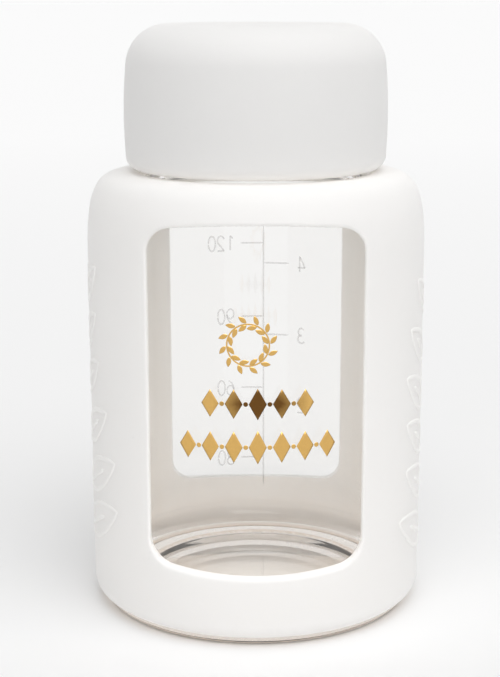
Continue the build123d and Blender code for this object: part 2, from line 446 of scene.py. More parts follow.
class BOTTLE_OT_glass(bpy.types.Operator):
    """Glass bottle with its neck thread"""

    bl_idname = "bottle.glass"
    bl_label = "Glass bottle"

    def execute(self, context):
        sizes = context.scene.bottle_sizes
        size = (sizes.pitch, sizes.thread_turns, sizes.thread_reach, sizes.neck_radius)
        ridge = thread(sizes.thread_start, *size)
        piece = turned("glass_bottle_clear", glass_outline(sizes), GLASS_COLUMNS, ridge)
        clothe(piece, clear_glass(), "bottle", "clear_glass", "glass_bottle")
        return {"FINISHED"}


# Silicone sleeve


def sleeve_tables(sizes, neck):
    """Matching outer and inner outlines of the sleeve, with the distance along the outer one."""
    radius, top, soft = SLEEVE_HIGH.x, SLEEVE_HIGH.z, sizes.collar_round
    bore = GLASS_HIGH.x + sizes.fit
    across = (bore - radius + sizes.foot_round) / sizes.foot_round
    foot = SLEEVE_LOW.z + sizes.foot_round * np.sqrt(1.0 - across**2)
    first = -np.degrees(np.arccos(across))
    outer = arc((radius - sizes.foot_round, foot), sizes.foot_round, first, 0, 14)
    outer = run(outer, (radius, SHOULDER_START), spacing=1.0 * MM)
    inner = np.stack([np.full(len(outer), bore), outer[:, 1]], axis=1)
    outer = follow(outer, lean_arcs(outer[-1], SLEEVE_ARCS, steps=SHOULDER_STEPS))
    inner = follow(inner, lean_arcs(inner[-1], GLASS_ARCS, -sizes.fit, steps=SHOULDER_STEPS))
    collar = neck.neck_radius + neck.neck_fillet + sizes.collar_clearance
    level = inner[-1][1]
    outer = run(outer, (collar + soft, top), spacing=0.5 * MM)
    flat = len(outer) - len(inner)
    inner = follow(inner, np.linspace(inner[-1], (collar + soft, level), flat + 1))
    outer = bend(outer, (collar + soft, top - soft), soft, 90, 180, COLLAR_STEPS)
    inner = follow(inner, np.linspace(inner[-1], (collar, level), COLLAR_STEPS + 1))
    return outer, inner, distances(outer)


def window_outline(sizes, grow):
    """The window's edge in x and z, parallel to its true edge at the distance grow outside it.

    Straight sides and bowed ends meet in corner arcs. A corner's centre lies where lines parallel
    to the side and to the bow, one corner radius inside them, cross. The points run anticlockwise
    from the right side's foot, and their second half is the first turned by half a turn.
    """
    half, tall = sizes.window_width / 2.0, sizes.window_height / 2.0
    swing = (half**2 + sizes.window_bow**2) / (2.0 * sizes.window_bow)
    bow_centre = tall + sizes.window_bow - swing
    corner_x = half - sizes.window_corner
    corner_z = bow_centre + np.sqrt((swing - sizes.window_corner) ** 2 - corner_x**2)
    last = np.degrees(np.arctan2(corner_z - bow_centre, corner_x))
    rise = np.linspace(-corner_z, corner_z, SIDE_POINTS + 1)
    right = np.stack([np.full(len(rise), half + grow), rise], axis=1)
    turn = arc((corner_x, corner_z), sizes.window_corner + grow, 0.0, last, CORNER_POINTS)
    top = arc((0.0, bow_centre), swing + grow, last, 180.0 - last, BOW_POINTS)
    upper = [stretch[:-1] for stretch in (right, turn, top, turn[::-1] * (-1, 1))]
    outline = np.concatenate(upper + [-stretch for stretch in upper])
    return outline[:, 0], outline[:, 1] + (sizes.window_bottom + tall)


def sleeve_frame(low, high, full):
    """Turn and distance along the outline at half a sleeve's border, for each window point.

    The right border runs from low to high beside the window's side, and its ends share out the
    rest of the outline. Upper and lower borders are shared out evenly.
    """
    half = CORNER_POINTS // 2
    index = np.arange(-half, SIDE_POINTS + half)
    marks = [-half, 0, SIDE_POINTS, SIDE_POINTS + half]
    rise = np.interp(index, marks, [0.0, low, high, full])
    fall = np.interp(index, marks, [full, high, low, 0.0])
    over = np.linspace(np.pi / 2, -np.pi / 2, BOW_POINTS + 2 * half, endpoint=False)
    quarter = np.full(len(rise), np.pi / 2)
    turn = np.concatenate([quarter, over, -quarter, -over])
    along = np.concatenate([rise, np.full(len(over), full), fall, np.zeros(len(over))])
    return np.roll(turn, -half), np.roll(along, -half)


def window_rings(sizes, wall):
    """Each ring's blend towards the border, growth of the window and depth in the wall."""
    edge, soft = sizes.edge_round, sizes.inner_edge_round
    rings = [(blend, edge, 0.0) for blend in np.linspace(1.0, 0.0, 40) ** 1.15]
    for lean in np.radians(np.linspace(0, 90, 7)[1:]):
        rings.append((0.0, edge * (1 - np.sin(lean)), edge * (1 - np.cos(lean))))
    rings += [(0.0, 0.0, depth) for depth in np.linspace(edge, wall - soft, 4)[1:]]
    for lean in np.radians(np.linspace(0, 90, 4)[1:]):
        rings.append((0.0, soft * (1 - np.cos(lean)), wall - soft * (1 - np.sin(lean))))
    return rings + [(blend, soft, wall) for blend in np.linspace(0.0, 1.0, 22)[1:]]


def sleeve_mesh(sizes, neck):
    """Half a sleeve as rings round one window, and the same again turned by half a turn.

    Each ring blends from the half sleeve's border to the window's edge in turn and in distance
    along the outline. Rings then round the edge over, cross the wall and spread out inside.
    """
    outer, inner, along = sleeve_tables(sizes, neck)
    wall = SLEEVE_HIGH.x - (GLASS_HIGH.x + sizes.fit)
    corners = window_outline(sizes, 0.0)[1][[0, SIDE_POINTS]]
    border = sleeve_frame(*np.interp(corners, outer[:, 1], along), along[-1])
    # The flat collar is left out of the search by height, which no longer rises there
    rising = slice(0, np.argmax(outer[:, 1] > SLEEVE_HIGH.z - 3.0 * MM))
    rings = []
    for blend, grow, depth in window_rings(sizes, wall):
        share = depth / wall
        section = (1.0 - share) * outer + share * inner
        x, z = window_outline(sizes, grow)
        place = np.interp(z, section[rising, 1], along[rising])
        turn = np.arcsin(x / np.interp(place, along, section[:, 0]))
        turn = turn + (border[0] - turn) * blend
        place = place + (border[1] - place) * blend
        radius, height = sample(place, along, section).T
        rings.append(around(radius, turn, height))
    columns = len(rings[0])
    start, last = SIDE_POINTS + CORNER_POINTS // 2, (len(rings) - 1) * columns
    top = np.arange(start, start + BOW_POINTS + CORNER_POINTS)
    collar = np.stack([last + top, last + top + 1, top + 1, top], axis=1)
    quads = np.concatenate([grid_quads(len(rings), columns), collar])
    front = np.concatenate(rings)
    return np.concatenate([front, front * (-1, -1, 1)]), np.concatenate([quads, quads + len(front)])


def weld(piece, distance=2e-6):
    """Joins the piece's doubled corners."""
    mesh = bmesh.new()
    mesh.from_mesh(piece.data)
    bmesh.ops.remove_doubles(mesh, verts=mesh.verts, dist=distance)
    bmesh.ops.dissolve_degenerate(mesh, dist=distance / 4, edges=mesh.edges)
    mesh.to_mesh(piece.data)
    mesh.free()
    piece.data.shade_smooth()


class BOTTLE_OT_sleeve(bpy.types.Operator):
    """Silicone sleeve with its two windows"""

    bl_idname = "bottle.sleeve"
    bl_label = "Silicone sleeve"

    def execute(self, context):
        scene = context.scene
        mesh = sleeve_mesh(scene.sleeve_sizes, scene.bottle_sizes)
        piece = make_mesh("silicone_sleeve_soft", *mesh)
        weld(piece)
        finish = matt_silicone("matt_jacket", scene.bottle_colours.silicone, TRANSLUCENCE)
        clothe(piece, finish, "bottle", "sleeve_silicone", "silicone_sleeve")
        return {"FINISHED"}


# Cap, disc and gasket


def barrel_centre(sizes):
    """Centre of the side's barrel arc, which meets the crown at its lean and ends level on top."""
    crown_sine = np.sin(sizes.crown_lean)
    drop = COVER_HIGH.z - COVER_LOW.z - sizes.crown_round * (1.0 - crown_sine)
    return COVER_HIGH.x - sizes.barrel_arc, COVER_LOW.z - sizes.barrel_arc * crown_sine + drop


def cap_outline(sizes, inset, base):
    """Barrel-shaped side and rounded crown from the height base to the flat top, moved inwards."""
    centre, held = barrel_centre(sizes), sizes.barrel_arc - inset
    lean = np.arcsin((base - centre[1]) / held)
    foot = (centre[0] + held * np.cos(lean), base)
    arcs = [(sizes.barrel_arc, np.degrees(sizes.crown_lean)), (sizes.crown_round, 90)]
    return lean_arcs(foot, arcs, inset, np.degrees(lean), 0.35 * MM)


def cover_outline(sizes):
    """Section of the cap's cover from its ceiling round the lip under the shell to its top.

    The rim's round touches the level underside and the barrel from within, which fixes its centre.
    """
    rim, soft, rounding = COVER_LOW.z, sizes.lip_round, sizes.rim_round
    inner = cap_outline(sizes, sizes.cover_wall, rim + sizes.lip)
    lip = sizes.bore + sizes.lip_clearance
    centre, held = barrel_centre(sizes), sizes.barrel_arc - rounding
    lean = np.arcsin((rim + rounding - centre[1]) / held)
    edge = (centre[0] + held * np.cos(lean), rim + rounding)
    outer = cap_outline(sizes, 0.0, centre[1] + sizes.barrel_arc * np.sin(lean))
    section = follow(run((0.0, inner[-1, 1]), inner[-1]), inner[::-1])
    section = run(section, (lip, rim + sizes.lip), (lip, rim + soft), spacing=0.6 * MM)
    section = bend(section, (lip + soft, rim + soft), soft, 180, 270, 4)
    section = bend(run(section, (edge[0], rim)), edge, rounding, -90, np.degrees(lean), 14)
    return run(follow(section, outer), (0.0, COVER_HIGH.z))


def shell_outline(sizes):
    """Section of the screw cap from its ceiling down the bore and its snap bead to its top."""
    ceiling, ledge = DISC_HIGH.z + DISC_PLAY, DISC_LOW.z - DISC_PLAY
    bore, soft, snap = sizes.bore, sizes.ceiling_round, sizes.snap_bead
    section = run((0.0, ceiling), (bore - soft, ceiling))
    section = run(bend(section, (bore - soft, ceiling - soft), soft, 90, 0, 8), (bore, ledge))
    section = bend(section, (bore, ledge - snap), snap, 90, 270, 12)
    section = run(section, (bore, SHELL_LOW.z), spacing=0.22 * MM)
    outer = cap_outline(sizes, sizes.cover_wall + sizes.cover_fit, SHELL_LOW.z)
    return run(follow(run(section, outer[0]), outer), (0.0, outer[-1, 1]))


class BOTTLE_OT_cap(bpy.types.Operator):
    """Silicone cover and screw cap with its thread"""

    bl_idname = "bottle.cap"
    bl_label = "Cap"

    def execute(self, context):
        scene = context.scene
        bottle, sizes, colours = scene.bottle_sizes, scene.cap_sizes, scene.bottle_colours
        cover = turned("cap_cover_soft", cover_outline(sizes), COVER_COLUMNS)
        finish = matt_silicone("matt_jacket", colours.silicone, TRANSLUCENCE)
        clothe(cover, finish, "cap", "cap_silicone", "cap_cover")
        start = bottle.thread_start - bottle.pitch / 2.0
        ridge = thread(start, bottle.pitch, CAP_TURNS, -bottle.thread_reach, sizes.bore)
        shell = turned("cap_shell_screw", shell_outline(sizes), GLASS_COLUMNS, ridge)
        finish = moulded_plastic("screw_cap_plastic", colours.plastic, 0.42)
        clothe(shell, finish, "cap", "cap_plastic", "cap_shell")
        return {"FINISHED"}


def disc_outline(sizes):
    """Section of the disc from the middle of its underside round its edge to its dished top."""
    edge, low, high, soft = DISC_HIGH.x, DISC_LOW.z, DISC_HIGH.z, sizes.seal_edge
    dish, sunk = edge - sizes.disc_margin, high - sizes.disc_dish
    groove = [(dish - inwards, low + depth) for inwards, depth in DISC_GROOVE]
    section = run((0.0, low), *groove, (edge - soft, low))
    section = bend(section, (edge - soft, low + soft), soft, -90, 0, 5)
    section = run(section, (edge, high - soft))
    section = bend(section, (edge - soft, high - soft), soft, 0, 90, 5)
    return run(section, (dish, high), (dish - sizes.disc_dish, sunk), (0.0, sunk))


def gasket_outline(sizes, neck, fine=0.4 * MM):
    """Closed section of the gasket: a flat ring over the lip, and a skirt in the mouth."""
    low, high, edge, soft = GASKET_LOW.z, GASKET_HIGH.z, GASKET_HIGH.x, sizes.seal_edge
    flat = high - sizes.gasket_thickness
    outside = neck.neck_radius - neck.wall - sizes.skirt_clearance
    inside = outside - sizes.skirt_wall
    foot = (inside, low + soft)
    section = run(foot, (inside + soft, low), (outside - soft, low), spacing=fine)
    section = bend(section, (outside - soft, low + soft), soft, -90, 0, 5)
    section = run(section, (outside, flat), (edge, flat), (edge, high - soft), spacing=fine)
    section = bend(section, (edge - soft, high - soft), soft, 0, 90, 5)
    return run(section, (inside, high), foot, spacing=fine)[:-1]


class BOTTLE_OT_seal(bpy.types.Operator):
    """Sealing disc and gasket"""

    bl_idname = "bottle.seal"
    bl_label = "Seal"

    def execute(self, context):
        scene = context.scene
        sizes, colours = scene.cap_sizes, scene.bottle_colours
        disc = turned("sealing_disc_moulded", disc_outline(sizes), SEAL_COLUMNS)
        finish = moulded_plastic("disc_moulding", colours.plastic, 0.3)
        clothe(disc, finish, "disc", "disc_plastic", "sealing_disc")
        section = gasket_outline(sizes, scene.bottle_sizes)
        gasket = turned("seal_gasket_clear", section, SEAL_COLUMNS)
        clothe(gasket, clear_silicone(colours.gasket), "gasket", "gasket_silicone", "seal_gasket")
        return {"FINISHED"}


# Raised leaves, foil and scale


def wrap(flat, radius, turn):
    """Flat points laid on a cylinder, where across becomes an angle from the direction turn."""
    return around(radius, flat[..., 0] / GLASS_HIGH.x + turn, flat[..., 1])


def towards(heading):
    """The step (cos heading, sin heading)."""
    return np.array([np.cos(heading), np.sin(heading)])


def circle(centre, radius, points):
    """Evenly spaced points round a centre."""
    turn = np.linspace(0.0, 2.0 * np.pi, points, endpoint=False)
    return centre + radius * towards(turn).T


def joined(pieces):
    """One set of corners, quads and triangles out of several."""
    points, quads, triangles, first = [], [], [], 0
    for corners, four, three in pieces:
        points.append(corners)
        quads.append(np.asarray(four, int).reshape(-1, 4) + first)
        triangles.append(np.asarray(three, int).reshape(-1, 3) + first)
        first += len(corners)
    return np.concatenate(points), np.concatenate(quads), np.concatenate(triangles)


def patch(outline, low, high, rings=3):
    """Thin closed film on a cylinder: rings of a star-shaped outline, shrunk towards its middle.

    The outer face runs from the middle to the edge, and the inner face back again.
    """
    middle, count = outline.mean(axis=0), len(outline)
    share = np.arange(1, rings + 1) / rings
    flat = middle + share[:, None, None] * (outline - middle)
    rows = np.concatenate([wrap(flat, high, 0.0), wrap(flat, low, 0.0)[::-1]]).reshape(-1, 3)
    poles = [wrap(middle, high, 0.0), wrap(middle, low, 0.0)]
    column = np.arange(count)
    beside, last = (column + 1) % count, len(rows) - count
    ends = [fan(len(rows), column, beside), fan(len(rows) + 1, last + beside, last + column)]
    quads = grid_quads(2 * rings, count)[:, ::-1]
    return np.concatenate([rows, poles]), quads, np.concatenate(ends)


def bead(route, width, low, high, turn=0.0, closed=False, flat_top=False):
    """Raised line on a cylinder: a half-round or flat section carried along a flat route.

    The section's foot sinks in by 0.35 of its height. At an open end the section shrinks over half
    the width, as (1 - s^2)^0.5 down to 0.15.
    """
    if closed:
        along = np.roll(route, -1, axis=0) - np.roll(route, 1, axis=0)
        taper = np.ones(len(route))
    else:
        along = np.gradient(route, axis=0)
        place = distances(route)
        near_end = np.clip(np.minimum(place, place[-1] - place) / (0.5 * width), 0.0, 1.0)
        taper = np.maximum(0.15, np.sqrt(1.0 - (1.0 - near_end) ** 2))
    along = along / np.linalg.norm(along, axis=1, keepdims=True)
    side = np.stack([along[:, 1], -along[:, 0]], axis=1)
    lean = np.linspace(0.0, np.pi, 7)
    swell = np.minimum(1.0, 3.0 * np.sin(lean)) if flat_top else np.sin(lean)
    foot = [(-1.0, -0.35), (1.0, -0.35)]
    section = np.concatenate([np.stack([np.cos(lean), swell], axis=1), foot])
    reach = 0.5 * width * taper
    flat = route[:, None, :] + side[:, None, :] * (section[None, :, :1] * reach[:, None, None])
    corners = wrap(flat, low + (high - low) * section[None, :, 1] * taper[:, None], turn)
    rows, columns = corners.shape[:2]
    quads = grid_quads(rows, columns, wrap_rows=closed)[:, ::-1]
    triangles = []
    if not closed:
        inner, last = np.arange(1, columns - 1), (rows - 1) * columns
        ends = [fan(0, inner, inner + 1), fan(last, last + inner + 1, last + inner)]
        triangles = np.concatenate(ends)
    return corners.reshape(-1, 3), quads, triangles


def leaf_edge(centre, heading, size, width, points=36):
    """Leaf outline: two sides of half-width width/2 * sin(pi s)^0.8 * (1.15 - 0.3 s) by a rib."""
    s = np.linspace(0.0, 1.0, points // 2 + 1)
    half = 0.5 * width * np.abs(np.sin(np.pi * s)) ** 0.8 * (1.15 - 0.3 * s)
    rib = np.stack([s - 0.5, 0 * s], axis=1) * size
    off = np.stack([0 * s, half], axis=1)
    edge = np.concatenate([(rib - off)[:-1], (rib + off)[::-1][:-1]])
    return edge @ np.array([towards(heading), towards(heading + np.pi / 2)]) + centre


def sprig():
    """Lines of a climbing sprig in across and up: a gently swaying stem, and pairs of open leaves.

    Leaves grow smaller and steeper with the share of the stem at which they stand. Each has an
    outline, a stalk and a rib. The flag says whether a line is closed.
    """
    low, high, sway, waves = 8.0 * MM, 62.0 * MM, 1.6 * MM, 1.25
    stalk, stagger, slimness = 1.4 * MM, 1.2 * MM, 0.34
    s = np.linspace(0.0, 1.0, 90)
    stem = np.stack([sway * np.sin(2.0 * np.pi * waves * s), low + (high - low) * s], axis=1)
    lines = [(stem, False)]
    for share in np.linspace(0.06, 0.84, 6):
        root = sample(share, s, stem)
        size = (17.5 - 7.0 * share) * MM
        for side in (-1, 1):
            heading = np.pi / 2 - side * radians(66 - 16 * share)
            away = towards(heading)
            middle = root + away * (0.5 * size + stalk) + np.array([0.0, side * stagger])
            foot = middle - away * 0.5 * size
            lines += [
                (leaf_edge(middle, heading, size, slimness * size), True),
                (np.linspace(root + away * 0.2 * MM, foot, 8), False),
                (np.linspace(foot + away * 1.5 * MM, foot + away * 0.7 * size, 16), False),
            ]
    return lines


class BOTTLE_OT_leaves(bpy.types.Operator):
    """Raised leaf sprigs on the sleeve's sides"""

    bl_idname = "bottle.leaves"
    bl_label = "Raised leaves"

    def execute(self, context):
        sizes, colours = context.scene.sleeve_sizes, context.scene.bottle_colours
        size = (sizes.leaf_line, SLEEVE_HIGH.x - LEAF_ROOT, SLEEVE_HIGH.x + sizes.leaf_height)
        finish = matt_silicone("matt_relief", colours.silicone, 0.0)
        for name, turn in (("side_sprig_left", -np.pi / 2), ("side_sprig_right", np.pi / 2)):
            lines = [bead(route, *size, turn, closed) for route, closed in sprig()]
            piece = make_mesh(name, *joined(lines))
            clothe(piece, finish, "bottle", "sleeve_silicone")
        return {"FINISHED"}


def lozenge(centre, width, height, points=8):
    """Outline of a slim diamond, each side in a few straight steps."""
    tips = np.array([[width, 0.0], [0.0, height], [-width, 0.0], [0.0, -height]]) * 0.5
    s = np.arange(points)[:, None] / points
    sides = [a + (b - a) * s for a, b in zip(tips, np.roll(tips, -1, axis=0))]
    return np.concatenate(sides) + centre


def ornament(low, high):
    """Foil ornament: an open wreath of leaves over two rows of lozenges and dots."""
    reach, size, width = 1.15 * MM, 1.7 * MM, 0.8 * MM
    ring = circle(WREATH_MIDDLE, WREATH_RADIUS, 96)
    pieces = [bead(ring, WREATH_LINE, low, high, closed=True, flat_top=True)]
    for spoke in 2.0 * np.pi * np.arange(WREATH_LEAVES) / WREATH_LEAVES:
        for side in (-1, 1):
            heading = spoke + np.pi / 2 - side * radians(38)
            middle = WREATH_MIDDLE + towards(spoke) * WREATH_RADIUS + towards(heading) * reach
            pieces.append(patch(leaf_edge(middle, heading, size, width, 20), low, high))
    for level, width, height, count in ROWS:
        for off in np.arange(count) - (count - 1) / 2.0:
            middle, tall = (ROW_MIDDLE + off * ROW_PITCH, level), height * (1.0 - 0.06 * abs(off))
            pieces.append(patch(lozenge(middle, width, tall), low, high))
            if off * 2.0 > 1 - count:
                dot = (ROW_MIDDLE + (off - 0.5) * ROW_PITCH, level)
                pieces.append(patch(circle(dot, DOT_RADIUS, 28), low, high))
    return joined(pieces)


def digit_strokes(digit, spacing=0.06):
    """Evenly spaced points along a digit's strokes, with arcs as centre + (w cos a, h sin a)."""
    strokes = []
    for stroke in DIGITS[digit]:
        rough = []
        for x, y, *bow in stroke:
            rough.append(np.array([[x, y]]))
            if bow:
                wide, tall, first, last = bow
                turn = np.radians(np.linspace(first, last, 49))
                rough[-1] = rough[-1] + towards(turn).T * (wide, tall)
        rough = np.concatenate(rough)
        place = distances(rough)
        even = np.linspace(0.0, place[-1], max(12, int(place[-1] / spacing)))
        strokes.append(sample(even, place, rough))
    return strokes


def scale_marks(low, high):
    """Volume scale on the rear, read from behind: a spine with ticks and numbers on each side."""
    width, tall, pitch, spine = 0.34 * MM, 3.0 * MM, 1.95 * MM, -1.6 * MM
    pieces = []

    def stroke(points):
        pieces.append(bead(points, width, low, high, np.pi, flat_top=True))

    def mark(volume, level, tick, left):
        stroke(np.linspace((spine, level * MM), (spine + tick * MM, level * MM), 10))
        for place, digit in enumerate(str(volume)):
            for points in digit_strokes(digit):
                corner = (spine + left * MM + place * pitch, level * MM - 0.5 * tall)
                stroke(points * (0.85 * tall, tall) + corner)

    stroke(np.linspace((spine, SPINE[0] * MM), (spine, SPINE[1] * MM), 30))
    for marks, tick, left in ((MILLILITRES, 4.9, 6.3), (OUNCES, -5.4, -8.9)):
        for volume, level in marks:
            mark(volume, level, tick, left)
    return joined(pieces)


class BOTTLE_OT_prints(bpy.types.Operator):
    """Gold-foil ornament on the front of the glass and volume scale on the rear"""

    bl_idname = "bottle.prints"
    bl_label = "Prints on the glass"

    def execute(self, context):
        colours, foot = context.scene.bottle_colours, GLASS_HIGH.x + PRINT_FOOT
        gold = gold_foil(colours.gold_light, colours.gold_dark)
        foil = make_mesh("foil_ornament", *ornament(foot, GLASS_HIGH.x + FOIL_TOP))
        clothe(foil, gold, "bottle", "clear_glass")
        marks = make_mesh("volume_scale", *scale_marks(foot, GLASS_HIGH.x + INK_TOP))
        clothe(marks, scale_ink(colours.ink), "bottle", "clear_glass")
        return {"FINISHED"}


# Finishes


def feed(tree, node, inputs):
    """Links each input whose value is a socket, and sets the others."""
    for name, value in inputs.items():
        if isinstance(value, bpy.types.NodeSocket):
            tree.links.new(value, node.inputs[name])
        else:
            node.inputs[name].default_value = value


def add(tree, kind, inputs=None, **values):
    """The outputs of a new node, with properties by name and inputs by their name or number."""
    node = tree.nodes.new(kind)
    for key, value in values.items():
        setattr(node, key, value)
    feed(tree, node, inputs or {})
    return node.outputs


def noise(tree, point, scale, detail=2.0, roughness=0.5):
    """Noise at a scale in grains for each metre."""
    inputs = {"Vector": point, "Scale": scale, "Detail": detail, "Roughness": roughness}
    return add(tree, "ShaderNodeTexNoise", inputs)["Fac"]


def maths(tree, operation, *values, clamp=False):
    """A Math node over sockets or numbers."""
    values = dict(enumerate(values))
    return add(tree, "ShaderNodeMath", values, operation=operation, use_clamp=clamp)[0]


def mixed(tree, share, first, second, blend="MIX"):
    """A Mix node over colours."""
    inputs = {0: share, 6: first, 7: second}
    return add(tree, "ShaderNodeMix", inputs, data_type="RGBA", blend_type=blend)[2]


def object_point(tree):
    """The Object coordinates, whole and as X, Y and Z."""
    point = add(tree, "ShaderNodeTexCoord")["Object"]
    return point, add(tree, "ShaderNodeSeparateXYZ", {0: point})


def grey(level):
    """A grey of one level."""
    return (level, level, level, 1.0)


def moulded_skin():
    """Group for moulded surfaces: faint clouding of the colour, uneven gloss, grain and dust.

    Colour is scaled by 1 - clouding * cloud - dust, where dust is the noise's highest peaks.
    Roughness moves by its spread times the unevenness, and the height is the grain plus 0.6 of a
    wider one.
    """
    if "moulded_skin" in bpy.data.node_groups:
        return bpy.data.node_groups["moulded_skin"]
    tree = bpy.data.node_groups.new("moulded_skin", "ShaderNodeTree")
    inputs = {"Colour": grey(0.8), "Grain": 4000.0, "Clouding": 0.03}
    inputs |= {"Roughness": 0.5, "Spread": 0.1, "Dust": 0.0}
    for side, names in (("INPUT", inputs), ("OUTPUT", ("Colour", "Roughness", "Height"))):
        for name in names:
            kind = "NodeSocketColor" if name == "Colour" else "NodeSocketFloat"
            socket = tree.interface.new_socket(name=name, in_out=side, socket_type=kind)
            if side == "INPUT":
                socket.default_value = inputs[name]
    taken, given = add(tree, "NodeGroupInput"), tree.nodes.new("NodeGroupOutput")
    point = object_point(tree)[0]
    fine = noise(tree, point, taken["Grain"], 3.0, 0.6)
    wide = noise(tree, point, maths(tree, "MULTIPLY", taken["Grain"], 0.14), 2.0)
    cloud = noise(tree, point, 45.0, 4.0, 0.55)
    peaks = maths(tree, "MULTIPLY_ADD", noise(tree, point, 900.0, 1.0), 9.0, -6.6, clamp=True)
    clouding = maths(tree, "MULTIPLY", cloud, taken["Clouding"])
    shade = maths(tree, "MULTIPLY_ADD", clouding, -1.0, 1.0)
    shade = maths(tree, "SUBTRACT", shade, maths(tree, "MULTIPLY", peaks, taken["Dust"]))
    uneven = maths(tree, "MULTIPLY_ADD", fine, 0.6, maths(tree, "MULTIPLY", cloud, 0.4))
    uneven = maths(tree, "SUBTRACT", uneven, 0.5)
    levels = (uneven, taken["Spread"], taken["Roughness"])
    feed(tree, given, {
        "Colour": mixed(tree, 1.0, taken["Colour"], shade, "MULTIPLY"),
        "Roughness": maths(tree, "MULTIPLY_ADD", *levels, clamp=True),
        "Height": maths(tree, "MULTIPLY_ADD", wide, 0.6, fine),
    })
    return tree


def new_finish(name, levels):
    """A material with its tree and Principled shader, whose plain inputs are set to levels."""
    finish = bpy.data.materials.new(name)
    finish.use_nodes = True
    shader = finish.node_tree.nodes["Principled BSDF"]
    feed(finish.node_tree, shader, levels)
    return finish, finish.node_tree, shader


def relief(tree, shader, height, depth):
    """Bump of a height over a depth in metres."""
    inputs = {"Strength": 1.0, "Distance": depth, "Height": height}
    feed(tree, shader, {"Normal": add(tree, "ShaderNodeBump", inputs)["Normal"]})


def moulded(name, colour, depth, skin, levels):
    """A material whose colour, roughness and bump come from the moulded skin."""
    if name in bpy.data.materials:
        return bpy.data.materials[name]
    finish, tree, shader = new_finish(name, levels)
    skin = {"Colour": (*colour, 1.0), **skin}
    skin = add(tree, "ShaderNodeGroup", skin, node_tree=moulded_skin())
    feed(tree, shader, {"Base Color": skin["Colour"], "Roughness": skin["Roughness"]})
    relief(tree, shader, skin["Height"], depth)
    return finish


def matt_silicone(name, colour, translucence):
    """Matt white silicone that lets some light through, with a powdery grain and faint dust."""
    skin = {"Grain": 5200.0, "Clouding": 0.035, "Roughness": 0.62, "Spread": 0.22, "Dust": 0.03}
    levels = {"Specular IOR Level": 0.35, "Sheen Weight": 0.04, "Sheen Roughness": 0.5}
    levels |= {"Subsurface Weight": translucence, "Subsurface Radius": (1.0, 0.97, 0.94)}
    levels |= {"Subsurface Scale": 14.0 * MM}
    return moulded(name, colour, 0.012 * MM, skin, levels)


def moulded_plastic(name, colour, roughness):
    """Moulded white polypropylene with a low gloss."""
    skin = {"Grain": 3000.0, "Clouding": 0.03, "Roughness": roughness, "Spread": 0.12}
    levels = {"Subsurface Weight": 0.15, "Subsurface Scale": 0.6 * MM}
    return moulded(name, colour, 0.006 * MM, skin, levels)


def clear_silicone(colour):
    """Translucent silicone of the gasket."""
    skin = {"Grain": 2400.0, "Clouding": 0.04, "Roughness": 0.36, "Spread": 0.15}
    levels = {"IOR": 1.41, "Transmission Weight": 0.45}
    return moulded("translucent_silicone", colour, 0.006 * MM, skin, levels)


def scale_ink(colour):
    """Grey printed ink, a little thin in places."""
    skin = {"Grain": 3600.0, "Clouding": 0.2, "Roughness": 0.5, "Spread": 0.2}
    return moulded("scale_ink", colour, 0.002 * MM, skin, {"Alpha": INK_COVER})


def clear_glass():
    """Clear pressed glass: slightly wavy and faintly tinted, with a painted warm shade at its foot
    that fades out upwards.
    """
    finish, tree, shader = new_finish("pressed_glass", {"IOR": 1.48, "Transmission Weight": 1.0})
    point, axes = object_point(tree)
    relief(tree, shader, noise(tree, point, 90.0, 1.0, 0.4), 0.012 * MM)
    # Painted shade: brown at the foot, fading upwards into the glass's own faint tint
    tint_and_foot_shade = tree.nodes.new("ShaderNodeValToRGB")
    ramp = tint_and_foot_shade.color_ramp.elements
    for share, _ in GLASS_TINT_AND_FOOT_SHADE[1:-1]:
        ramp.new(share)
    for stop, (_, tone) in zip(ramp, GLASS_TINT_AND_FOOT_SHADE):
        stop.color = (*tone, 1.0)
    feed(tree, tint_and_foot_shade, {"Fac": maths(tree, "MULTIPLY", axes["Z"], 1.0 / FOOT_SHADE_FADE)})
    smear = maths(tree, "MULTIPLY", noise(tree, point, 60.0, 3.0), 0.02)
    feed(tree, shader, {"Base Color": tint_and_foot_shade.outputs["Color"], "Roughness": smear})
    return finish


def gold_foil(light, dark):
    """Hot-stamped foil: finely crinkled metal, with painted shade that fades out from its middle.
    """
    finish, tree, shader = new_finish("gold_foil", {"Metallic": 1.0})
    point, axes = object_point(tree)
    # Painted shade: the foil darkens towards the middle of the upper row of lozenges
    near = []
    for axis, middle, reach in zip("XZ", SHADE_MIDDLE, SHADE_REACH):
        off = maths(tree, "ABSOLUTE", maths(tree, "SUBTRACT", axes[axis], middle))
        near.append(maths(tree, "MULTIPLY_ADD", off, -1.0 / reach, 1.0, clamp=True))
    crinkle = noise(tree, point, 2600.0, 3.0)
    shade = maths(tree, "MULTIPLY", maths(tree, "MULTIPLY", *near), 1.6)
    shade = maths(tree, "MULTIPLY_ADD", crinkle, 0.2, shade, clamp=True)
    feed(tree, shader, {
        "Base Color": mixed(tree, shade, (*light, 1.0), (*dark, 1.0)),
        "Roughness": maths(tree, "MULTIPLY_ADD", crinkle, 0.16, 0.22),
    })
    relief(tree, shader, crinkle, 0.004 * MM)
    return finish


def ray_kinds(tree):
    """Whether a ray comes from the camera, and whether from a reflection or through glass."""
    path = add(tree, "ShaderNodeLightPath")
    through = maths(tree, "MAXIMUM", path["Is Glossy Ray"], path["Is Transmission Ray"])
    return path["Is Camera Ray"], through


